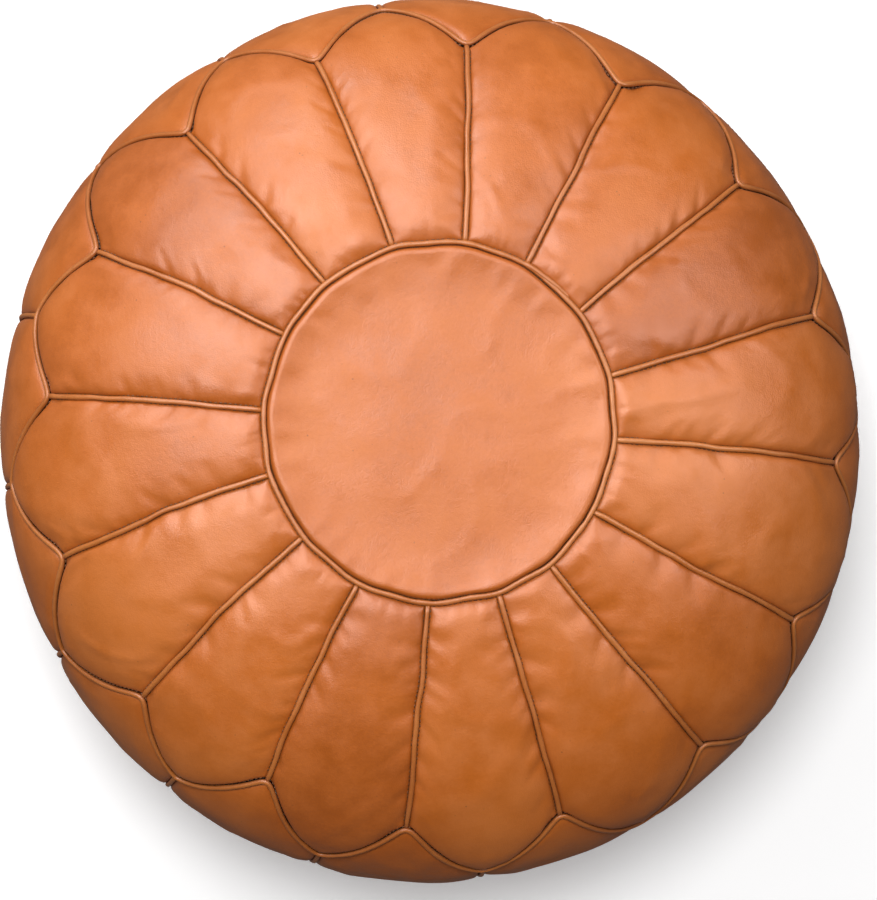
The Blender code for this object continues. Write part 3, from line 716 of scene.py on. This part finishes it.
def stitch_line(centres, normals, side_way, offset, height, seed):
    """Points of a row of stitches beside a seam."""
    along = np.gradient(centres, axis=0)
    place = np.concatenate([[0], np.cumsum(np.linalg.norm(np.diff(centres, axis=0), axis=1))])
    along /= np.linalg.norm(along, axis=1)[:, None]
    side = np.cross(along, normals)
    side *= side_way / np.linalg.norm(side, axis=1, keepdims=True)
    count = int((place[-1] - 1.5 * STITCH_START) / STITCH_PITCH)
    spots = STITCH_START + STITCH_PITCH * np.arange(count)
    spots = spots + STITCH_STRAY * wander(spots, 900, seed)

    def at(values):
        return np.stack([np.interp(spots, place, values[:, axis]) for axis in range(3)], -1)

    along, side, normals = at(along), at(side), at(normals)
    centre = at(centres) + side * offset + normals * height
    turns = math.tau * np.arange(STITCH_SIDES) / STITCH_SIDES
    ring = side[:, None] * np.cos(turns)[:, None] + normals[:, None] * np.sin(turns)[:, None]
    rows = []
    for reach, radius, rise in STITCH_ROWS:
        middle = centre + along * (reach * STITCH_LENGTH / 2) + normals * (rise * STITCH_RADIUS)
        rows.append(middle[:, None] + ring * (radius * STITCH_RADIUS))
    return np.stack(rows, 1).reshape(-1, 3)


def stitching(name, seams, offset, height):
    """All the stitches beside a list of seams, as one piece of thread work."""
    lines = [(number, seam, way) for number, seam in enumerate(seams) for way in (-1, 1)]
    points = [stitch_line(*seam, way, offset, height, number + way * 0.3) for number, seam, way in lines]
    points = np.concatenate(points)
    one = tube_faces(len(STITCH_ROWS), STITCH_SIDES, closed=False)
    firsts = range(0, len(points), len(STITCH_ROWS) * STITCH_SIDES)
    return add_mesh(name, points, [[corner + first for corner in face] for first in firsts for face in one])


def steps_for(length):
    return max(int(round(length / WELT_STEP)), 4)


def sunk_line(angle_at, number, start, end, proud, sink, fade):
    """Middle line and normals of a cord between two reaches, which sinks at both ends."""
    share = np.linspace(0, 1, steps_for(end - start))
    ends = smooth_step((fade - share) / fade) + smooth_step((share - (1 - fade)) / fade)
    return cover(angle_at(number, share), mix(start, end, share), proud - sink * ends)


def petal_seam(number):
    """The cord before petal `number`."""
    start = float(disc_reach(number)) + 0.0012
    end = float(zigzag_reach(number)) - CORD_GAP
    return sunk_line(petal_seam_angle, number, start, end, proud=0.0002, sink=0.0012, fade=0.03)


def side_seam(number):
    """The cord down the side after side panel `number`."""
    start = float(zigzag_reach(number + 0.5)) + CORD_GAP
    end = BASE_REACH - CORD_GAP
    return sunk_line(side_seam_angle, number, start, end, proud=-0.0006, sink=0.0010, fade=0.02)


def join_seam():
    """The disc cord's loose end, which lies over its start and slips under the petals."""
    share = np.linspace(0, 1, steps_for(JOIN_LENGTH))
    around = JOIN_PLACE + JOIN_TURN * share
    aside = JOIN_ASIDE * (1 - smooth_step(share * 1.15))
    proud = 0.0009 - 0.0030 * smooth_step((share - 0.75) / 0.25) - 0.0022 * smooth_step((0.3 - share) / 0.3)
    return cover(angle_between(INNER_STRAY, around), disc_reach(around) + aside, proud)


def loop_seam(angles, reach_at, length):
    """Middle line and normals of a cord that runs all the way round."""
    count = steps_for(length)
    around = np.arange(count) * PANELS / count
    return cover(angle_between(angles, around), reach_at(around), 0.0004)


# ---- base

FOLD_HEIGHT = 0.008
FOLD_FOOT = 0.024
FOLD_TOP = 0.014
FOLD_END = 0.172
FOLD_FULL_END = 0.150
BASE_EDGE = 0.0024
MOUTH_HALF_WIDTH = 0.008
MOUTH_END = 0.1275
MOUTH_CLOSED = 0.1325
ZIP_SEWN = 0.134
ZIP_STITCH_OFFSET = 0.0113
CLOSED_STITCH_OFFSET = 0.0028
CLOSED_SEAM_START = 0.137
CLOSED_SEAM_END = 0.178
STOPS = (
    ("zip_stop_closed_end", (-0.0040, -0.1292, 0.0086), (0.0040, -0.1262, 0.0128)),
    ("zip_stop_left", (-0.0038, 0.1246, 0.0088), (-0.0003, 0.1268, 0.0126)),
    ("zip_stop_right", (0.0003, 0.1246, 0.0088), (0.0038, 0.1268, 0.0126)),
)
END_PATCHES = (
    ("zip_end_patch_low", (-0.0036, -0.1440, 0.0103), (0.0036, -0.1296, 0.0111)),
    ("zip_end_patch_high", (-0.0036, 0.1272, 0.0103), (0.0036, 0.1440, 0.0111)),
)


def base_height(x, y):
    spread = np.hypot(x / HALF_WIDTH_X, y / HALF_WIDTH_Y)
    rim = smooth_step((spread - FLAT_SPREAD) / (BASE_SPREAD - FLAT_SPREAD))
    across = smooth_step((FOLD_FOOT - np.abs(x)) / (FOLD_FOOT - FOLD_TOP))
    along = smooth_step((FOLD_END - np.abs(y)) / (FOLD_END - FOLD_FULL_END))
    return BASE_SEAM_HEIGHT * rim + FOLD_HEIGHT * across * along


def base_line(start, end):
    """The line between the base's halves, and its outward normals."""
    y = np.linspace(start, end, steps_for(end - start))
    centres = np.stack([np.zeros_like(y), y, base_height(np.zeros_like(y), y)], -1)
    return centres, np.tile([0.0, 0.0, -1.0], (len(y), 1))


def base_panel(name, side):
    """One half of the base, folded up beside the zip and raised into the base seam."""
    rim_x = BASE_SPREAD * HALF_WIDTH_X - BASE_EDGE
    rim_y = BASE_SPREAD * HALF_WIDTH_Y - BASE_EDGE
    turns = np.linspace(-math.pi / 2 + 0.05, math.pi / 2 - 0.05, 90)
    y = (rim_y * np.sin(turns))[:, None]
    end = (rim_x * np.cos(turns))[:, None]
    closing = smooth_step((np.abs(y) - MOUTH_END) / (MOUTH_CLOSED - MOUTH_END))
    start = np.minimum(mix(MOUTH_HALF_WIDTH, 0.0003, closing), 0.1 * end)
    near, middle, far = np.linspace(0, 0.2, 22), np.linspace(0.2, 0.9, 18), np.linspace(0.9, 1, 8)
    shares = np.concatenate([near[:-1], middle[:-1], far])
    x = mix(start, end, shares[None])
    y = np.broadcast_to(y, x.shape)
    edge = (end - x) * np.cos(turns)[:, None]
    dip = 0.0018 * np.exp(-edge / 0.003)
    z = base_height(x, y) + dip
    flat = np.stack([side * x, y, z], -1)
    normals = np.broadcast_to(np.array([0.0, 0.0, -1.0]), flat.shape)
    lumps = np.abs(undulation(flat, 90 + side)) * smooth_step(edge / 0.02)
    outer = flat - normals * lumps[..., None] * 0.4
    distances = (edge + EDGE, np.full_like(edge, 1.0))
    if side > 0:
        outer, normals = outer[::-1], normals[::-1]
        distances = tuple(d[::-1] for d in distances)
    faces = shell_faces(*outer.shape[:2])
    return leather_shell(name, outer, normals, distances, random_tone(95 + side), faces)


# ---- materials

def add_node(tree, kind, inputs=None, **settings):
    """A node with its settings, and each input linked to a socket or set to a value."""
    made = tree.nodes.new(kind)
    for key, value in settings.items():
        setattr(made, key, value)
    for key, value in (inputs or {}).items():
        if isinstance(value, bpy.types.NodeSocket):
            tree.links.new(value, made.inputs[key])
        else:
            made.inputs[key].default_value = value
    return made


def set_inputs(node, values):
    for key, value in values.items():
        node.inputs[key].default_value = value


def arithmetic(tree, operation, *values):
    return add_node(tree, "ShaderNodeMath", dict(enumerate(values)), operation=operation).outputs[0]


def blend_colour(tree, share, first, second):
    return add_node(tree, "ShaderNodeMix", {0: share, 6: first, 7: second}, data_type="RGBA").outputs[2]


def remap(tree, value, low, high, to_low=0.0, to_high=1.0):
    made = add_node(tree, "ShaderNodeMapRange", {0: value, 1: low, 2: high, 3: to_low, 4: to_high})
    return made.outputs[0]


def cloud(tree, place, scale, detail, **more):
    """Soft noise of this scale."""
    made = add_node(tree, "ShaderNodeTexNoise", {"Vector": place, "Scale": scale, "Detail": detail, **more})
    return made.outputs[0]


def cells(tree, place, scale):
    """Distance to the nearest of many scattered points."""
    return add_node(tree, "ShaderNodeTexVoronoi", {"Vector": place, "Scale": scale}).outputs["Distance"]


def object_place(tree):
    return add_node(tree, "ShaderNodeTexCoord").outputs["Object"]


def mapped(tree, place, rotation, scale=(1.0, 1.0, 1.0)):
    inputs = {"Vector": place, "Rotation": rotation, "Scale": scale}
    return add_node(tree, "ShaderNodeMapping", inputs).outputs[0]


def attribute(tree, name):
    return add_node(tree, "ShaderNodeAttribute", attribute_name=name).outputs["Fac"]


def bumped(tree, height, strength, distance):
    """Joins a bump from this height to the material's shader."""
    made = add_node(tree, "ShaderNodeBump", {"Strength": strength, "Distance": distance, "Height": height})
    tree.links.new(made.outputs[0], tree.nodes["Principled BSDF"].inputs["Normal"])


def ramp(tree, value, stops):
    made = add_node(tree, "ShaderNodeValToRGB", {0: value})
    elements = made.color_ramp.elements
    while len(elements) < len(stops):
        elements.new(0.5)
    for element, (place, colour) in zip(elements, stops):
        element.position = place
        element.color = (*colour, 1.0)
    return made.outputs[0]


def leather_colour(tree, place, patches, dark, middle, light, shade_and_speck_colour, edge_name):
    """Cloudy colour that differs between panels, with scratches and specks, and painted shade: beside and in
    a panel's seams, and on a cord's lower flanks.
    """
    value = -0.44
    parts = (
        (cloud(tree, place, 8.0, 3.0, Distortion=0.6), 0.9),
        (patches, 0.5),
        (cloud(tree, place, 520.0, 3.0), 0.22),
        (attribute(tree, "tone"), 0.32),
    )
    for part, weight in parts:
        value = arithmetic(tree, "MULTIPLY_ADD", part, weight, value)
    colour = ramp(tree, value, ((0.22, dark), (0.5, middle), (0.8, light)))
    edge = attribute(tree, edge_name)
    if edge_name == "crease":
        # Painted shade: a dark band beside each seam, where the puffed leather dips towards it.
        near = arithmetic(tree, "MULTIPLY", attribute(tree, "near"), 0.55)
        colour = blend_colour(tree, near, colour, (*dark, 1.0))
        # Painted shade in the crease itself, where the leather rolls down under the cord.
        painted_shade = arithmetic(tree, "POWER", edge, 1.6)
    else:
        # Painted shade on a cord's lower flanks and underside; its top stays light.
        painted_shade = remap(tree, edge, -0.3, 0.9, 1.0, 0.0)
    # Paints that shade in, towards the shade colour.
    colour = blend_colour(tree, painted_shade, colour, (*shade_and_speck_colour, 1.0))
    scratches = cloud(tree, mapped(tree, place, (0.2, 0.1, 0.7), (14.0, 260.0, 40.0)), 1.0, 2.0)
    scratches = arithmetic(tree, "MULTIPLY", remap(tree, scratches, 0.68, 0.78), 0.18)
    colour = blend_colour(tree, scratches, colour, (*light, 1.0))
    specks = remap(tree, cells(tree, place, 170.0), 0.05, 0.12, 0.5, 0.0)
    specks = arithmetic(tree, "MULTIPLY", specks, remap(tree, patches, 0.56, 0.64))
    return blend_colour(tree, specks, colour, (*shade_and_speck_colour, 1.0))


def leather(name, dark, middle, light, shade_and_speck_colour, roughness, edge_name):
    """Tanned leather: cloudy colour with painted shade at its seams, uneven gloss, and a grain of pores and
    fine folds.
    """
    material = plain(name, middle, roughness)
    tree = material.node_tree
    shader = tree.nodes["Principled BSDF"]
    place = object_place(tree)
    patches = cloud(tree, place, 46.0, 5.0, Roughness=0.6)
    colour = leather_colour(tree, place, patches, dark, middle, light, shade_and_speck_colour, edge_name)
    tree.links.new(colour, shader.inputs["Base Color"])
    gloss = remap(tree, patches, 0.3, 0.7, roughness - 0.11, roughness + 0.16)
    tree.links.new(gloss, shader.inputs["Roughness"])
    set_inputs(shader, {"Specular IOR Level": 0.6, "Sheen Weight": 0.03})
    set_inputs(shader, {"Sheen Roughness": 0.45, "Sheen Tint": (1.0, 0.82, 0.72, 1.0)})
    folds = cloud(tree, place, 210.0, 5.0, Roughness=0.65)
    grain = arithmetic(tree, "MULTIPLY_ADD", cells(tree, place, 1250.0), -0.35, folds)
    bumped(tree, grain, 0.32, 0.0006)
    return material


def plain(name, colour, roughness, metallic=0.0):
    material = bpy.data.materials.new(name)
    material.use_nodes = True
    shader = material.node_tree.nodes["Principled BSDF"]
    set_inputs(shader, {"Base Color": (*colour, 1.0), "Roughness": roughness, "Metallic": metallic})
    return material


def mottled(name, dark, light, scale, roughness, bump, metallic=0.0):
    """A finely uneven finish for thread, wadding and metal."""
    material = plain(name, light, roughness, metallic)
    tree = material.node_tree
    shader = tree.nodes["Principled BSDF"]
    grain = cloud(tree, object_place(tree), scale, 4.0)
    tree.links.new(ramp(tree, grain, ((0.3, dark), (0.7, light))), shader.inputs["Base Color"])
    gloss = remap(tree, grain, 0.3, 0.7, roughness + 0.1, roughness - 0.1)
    tree.links.new(gloss, shader.inputs["Roughness"])
    bumped(tree, grain, 0.5, bump)
    return material


def woven(name, dark, light):
    """Zip tape: a fine herringbone of cotton threads."""
    material = plain(name, light, 0.85)
    tree = material.node_tree
    place = object_place(tree)
    waves = []
    for turn in (math.pi / 4, -math.pi / 4):
        inputs = {"Vector": mapped(tree, place, (0.0, 0.0, turn)), "Scale": 320.0, "Distortion": 0.4}
        waves.append(add_node(tree, "ShaderNodeTexWave", inputs).outputs["Fac"])
    weave = arithmetic(tree, "MAXIMUM", *waves)
    colour = ramp(tree, weave, ((0.3, dark), (0.95, light)))
    tree.links.new(colour, tree.nodes["Principled BSDF"].inputs["Base Color"])
    bumped(tree, weave, 0.8, 0.0003)
    return material


def make_skins():
    return {
        # Each leather's fourth colour is the colour of its painted shade and of its dark specks.
        "panel": leather("panel_leather", (0.47, 0.108, 0.009), (0.61, 0.150, 0.014), (0.70, 0.195, 0.030),
                         (0.15, 0.040, 0.007), 0.42, "crease"),
        "welt": leather("welt_leather", (0.50, 0.140, 0.022), (0.60, 0.190, 0.036), (0.68, 0.25, 0.065),
                        (0.24, 0.070, 0.012), 0.40, "crown"),
        "base": leather("base_leather", (0.36, 0.095, 0.020), (0.46, 0.130, 0.030), (0.54, 0.17, 0.048),
                        (0.10, 0.028, 0.006), 0.55, "crease"),
        "thread": mottled("waxed_thread", (0.11, 0.034, 0.008), (0.24, 0.085, 0.022), 900, 0.6, 0.0001),
        "wadding": mottled("cotton_wadding", (0.55, 0.50, 0.42), (0.86, 0.83, 0.76), 160, 0.9, 0.002),
        "tape": woven("tape_weave", (0.05, 0.022, 0.010), (0.20, 0.09, 0.04)),
        "brass": mottled("aged_brass", (0.30, 0.20, 0.08), (0.66, 0.49, 0.22), 240, 0.36, 0.0001, 1.0),
    }


def paint(thing, material):
    thing.data.materials.clear()
    thing.data.materials.append(material)


# ---- assembly

DISC_LOOP = 0.67
SCALLOP_LOOP = 2.3
BASE_LOOP = 1.13
WADDING_EDGE = 0.02
WADDING_DIP = 0.0035


def make_cover(skins):
    """The leather panels of the top, the sides and the base."""
    petal_moves, side_moves, disc_moves = simulated()

    def lay(thing, skin, node):
        finish_piece(thing, skins[skin], [node])

    for number in range(PANELS):
        label = f"{number + 1:02d}"
        lay(petal(number, petal_moves), "panel", f"top_petal_{label}")
        lay(side_panel(number, side_moves), "panel", f"side_panel_{label}")
    lay(disc(disc_moves), "panel", "top_disc")
    for name, side in (("left", -1), ("right", 1)):
        lay(base_panel(f"base_leather_{name}", side), "base", f"base_panel_{name}")


def make_welts(skins):
    """The leather cords in the seams."""
    petal_seams = [petal_seam(number) for number in range(PANELS)]
    side_seams = [side_seam(number) for number in range(PANELS)]
    loops = [
        loop_seam(INNER_STRAY, disc_reach, DISC_LOOP),
        loop_seam(OUTER_STRAY, zigzag_reach, SCALLOP_LOOP),
        loop_seam(OUTER_STRAY, base_reach, BASE_LOOP),
    ]

    def lay(name, seam, seed, node, closed=False):
        finish_piece(welt(name, *seam, seed, closed), skins["welt"], [node])

    for number in range(PANELS):
        label = f"{number + 1:02d}"
        lay(f"petal_cord_{label}", petal_seams[number], number + 1, f"petal_welt_{label}")
        lay(f"side_cord_{label}", side_seams[number], number + 31, "side_welt")
    lay("disc_cord", loops[0], 7, "disc_welt", closed=True)
    lay("scallop_cord", loops[1], 8, "side_welt", closed=True)
    lay("base_cord", loops[2], 9, "side_welt", closed=True)
    lay("disc_cord_end", join_seam(), 12, "disc_welt")
    return petal_seams, side_seams, loops


def make_stitches(skins, petal_seams, side_seams, loops):
    """The thread beside every cord, beside the zip and along the closed ends of its seam."""
    by_cords = STITCH_OFFSET, STITCH_HEIGHT, "welt_leather"
    zip_line = [base_line(-ZIP_SEWN, ZIP_SEWN)]
    ends = [base_line(-CLOSED_SEAM_END, -CLOSED_SEAM_START), base_line(CLOSED_SEAM_START, CLOSED_SEAM_END)]
    rows = (
        ("petal_stitching", petal_seams, *by_cords),
        ("side_stitching", side_seams, *by_cords),
        ("ring_stitching", loops, *by_cords),
        ("zip_stitching", zip_line, ZIP_STITCH_OFFSET, 0.0, "base_leather"),
        ("closed_seam_stitching", ends, CLOSED_STITCH_OFFSET, 0.0, "base_leather"),
    )
    for name, seams, offset, height, slot in rows:
        finish_piece(stitching(name, seams, offset, height), skins["thread"])


def finish_piece(thing, material, nodes=(), body="pouf"):
    paint(thing, material)
    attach(thing, body)
    if nodes:
        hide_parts(*nodes)


def copied(node, name):
    """A new piece that starts as a CAD node's mesh, with its doubled corners joined."""
    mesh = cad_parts[node].data.copy()
    mesh.materials.clear()
    edit = bmesh.new()
    edit.from_mesh(mesh)
    bmesh.ops.remove_doubles(edit, verts=edit.verts, dist=1e-6)
    bmesh.ops.dissolve_limit(edit, angle_limit=math.radians(1), verts=edit.verts, edges=edit.edges)
    edit.to_mesh(mesh)
    edit.free()
    return add_object(name, mesh)


def make_inside(skins):
    """Cotton wadding in the CAD filling's place, lumpy where the zip's mouth shows it."""
    wadding = copied("stuffing", "wadding")
    edit = bmesh.new()
    edit.from_mesh(wadding.data)
    bmesh.ops.triangulate(edit, faces=edit.faces)
    long_edges = [edge for edge in edit.edges if edge.calc_length() > WADDING_EDGE]
    bmesh.ops.subdivide_edges(edit, edges=long_edges, cuts=3, use_grid_fill=True)
    bmesh.ops.triangulate(edit, faces=edit.faces)
    edit.normal_update()
    for vertex in edit.verts:
        lump = 0.5 + 0.5 * noise.noise(vertex.co * 60) + 0.3 * noise.noise(vertex.co * 170)
        vertex.co -= vertex.normal * WADDING_DIP * max(lump, 0)
    edit.to_mesh(wadding.data)
    edit.free()
    wadding.data.shade_smooth()
    finish_piece(wadding, skins["wadding"], ["stuffing"])


def rounded(thing, width):
    """Rounds a metal piece's edges, as casting and polishing leave them."""
    bevel = thing.modifiers.new("rounding", "BEVEL")
    bevel.width = width
    bevel.segments = 2
    bevel.limit_method = "ANGLE"
    thing.data.shade_smooth()
    thing.data.set_sharp_from_angle(angle=math.radians(50))


def block(name, low, high):
    """A small metal block between two corners."""
    edit = bmesh.new()
    bmesh.ops.create_cube(edit, size=1)
    for vertex in edit.verts:
        vertex.co = Vector([mix(a, b, c + 0.5) for a, b, c in zip(low, high, vertex.co)])
    mesh = bpy.data.meshes.new(name)
    edit.to_mesh(mesh)
    edit.free()
    thing = add_object(name, mesh)
    rounded(thing, 0.0004)
    return thing


def make_zip(skins):
    for side in ("left", "right"):
        paint(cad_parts[f"zip_tape_{side}"], skins["tape"])
        paint(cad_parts[f"zip_teeth_{side}"], skins["brass"])
    for node, name, body in (("zip_slider", "slider_body", "slider"), ("zip_pull", "pull_tab", "pull")):
        piece = copied(node, name)
        rounded(piece, 0.00022)
        finish_piece(piece, skins["brass"], [node], body=body)
    for name, low, high in STOPS:
        finish_piece(block(name, low, high), skins["brass"])
    for name, low, high in END_PATCHES:
        finish_piece(block(name, low, high), skins["tape"])


# ---- camera, floor and light

CAMERA_TARGET = Vector((0, 0, WIDEST_HEIGHT))
CAMERA_LEAN = Vector((-0.06, -0.05, 1)).normalized()
CAMERA_DISTANCE = 2.3
SENSOR_WIDTH = 36
LENS = 148.1
SHIFT = (0.0095, -0.0112)


def make_camera():
    data = bpy.data.cameras.new("camera")
    data.sensor_fit = "HORIZONTAL"
    data.sensor_width = SENSOR_WIDTH
    data.lens = LENS
    data.shift_x, data.shift_y = SHIFT
    camera = add_object("camera", data)
    forward = -CAMERA_LEAN
    right = forward.cross(Vector((0, 1, 0))).normalized()
    up = right.cross(forward)
    turn = Matrix((right, up, -forward)).transposed().to_4x4()
    camera.matrix_world = Matrix.Translation(CAMERA_TARGET + CAMERA_LEAN * CAMERA_DISTANCE) @ turn
    bpy.context.scene.camera = camera


MIDDLE = (0, 0, 0.15)
FLOOR_HALF = 6
FLOOR_GLOW = 0.30
SKY_STRENGTH = 0.65
DARK_SIDE = (0.16, 0.15, 0.14)
BRIGHT_SIDE = (-0.38, 0.66, 0.65)


def area_light(name, place, size, power):
    """A round softbox that faces the pouf."""
    data = bpy.data.lights.new(name, "AREA")
    data.shape = "DISK"
    data.size = size
    data.energy = power
    light = add_object(name, data)
    light.location = place
    light.rotation_euler = (Vector(MIDDLE) - Vector(place)).to_track_quat("-Z", "Y").to_euler()
    return light


def make_lights():
    """Light from overhead and from behind, and two softboxes that only show as gloss."""
    overhead = area_light("overhead", (-0.30, 0.34, 3.2), 0.9, 60)
    overhead.visible_glossy = False
    area_light("key", (-0.95, 2.2, 1.4), 1.6, 28)
    left_glow = area_light("left_glow", (-1.05, 0.9, 2.7), 3.0, 130)
    right_glow = area_light("right_glow", (1.7, 0.6, 2.2), 2.0, 42)
    left_glow.visible_diffuse = right_glow.visible_diffuse = False


def make_floor():
    """A plain white floor that doesn't colour the leather."""
    corners = np.array([(-1, -1, 0), (1, -1, 0), (1, 1, 0), (-1, 1, 0)], float)
    floor = add_mesh("floor", FLOOR_HALF * corners, [[0, 1, 2, 3]])
    white = plain("floor_white", (0.9, 0.9, 0.9), 0.9)
    shader = white.node_tree.nodes["Principled BSDF"]
    set_inputs(shader, {"Specular IOR Level": 0.1})
    set_inputs(shader, {"Emission Color": (1, 1, 1, 1), "Emission Strength": FLOOR_GLOW})
    paint(floor, white)
    floor.visible_diffuse = floor.visible_glossy = False


def make_sky():
    """Soft grey light that is brighter on one side."""
    world = bpy.data.worlds.new("studio")
    world.use_nodes = True
    tree = world.node_tree
    direction = add_node(tree, "ShaderNodeTexCoord").outputs["Generated"]
    inputs = {0: direction, 1: BRIGHT_SIDE}
    towards = add_node(tree, "ShaderNodeVectorMath", inputs, operation="DOT_PRODUCT").outputs["Value"]
    stops = ((0.0, DARK_SIDE), (0.50, DARK_SIDE), (0.8, (0.5, 0.5, 0.52)), (1.0, (0.7, 0.7, 0.7)))
    sky = ramp(tree, remap(tree, towards, -1.0, 1.0), stops)
    background = tree.nodes["Background"]
    tree.links.new(sky, background.inputs[0])
    background.inputs[1].default_value = SKY_STRENGTH
    bpy.context.scene.world = world


def make_studio():
    make_floor()
    make_lights()
    make_sky()
    bpy.context.scene.view_settings.view_transform = "Standard"


make_camera()
skins = make_skins()
make_cover(skins)
make_stitches(skins, *make_welts(skins))
make_inside(skins)
make_zip(skins)
make_studio()
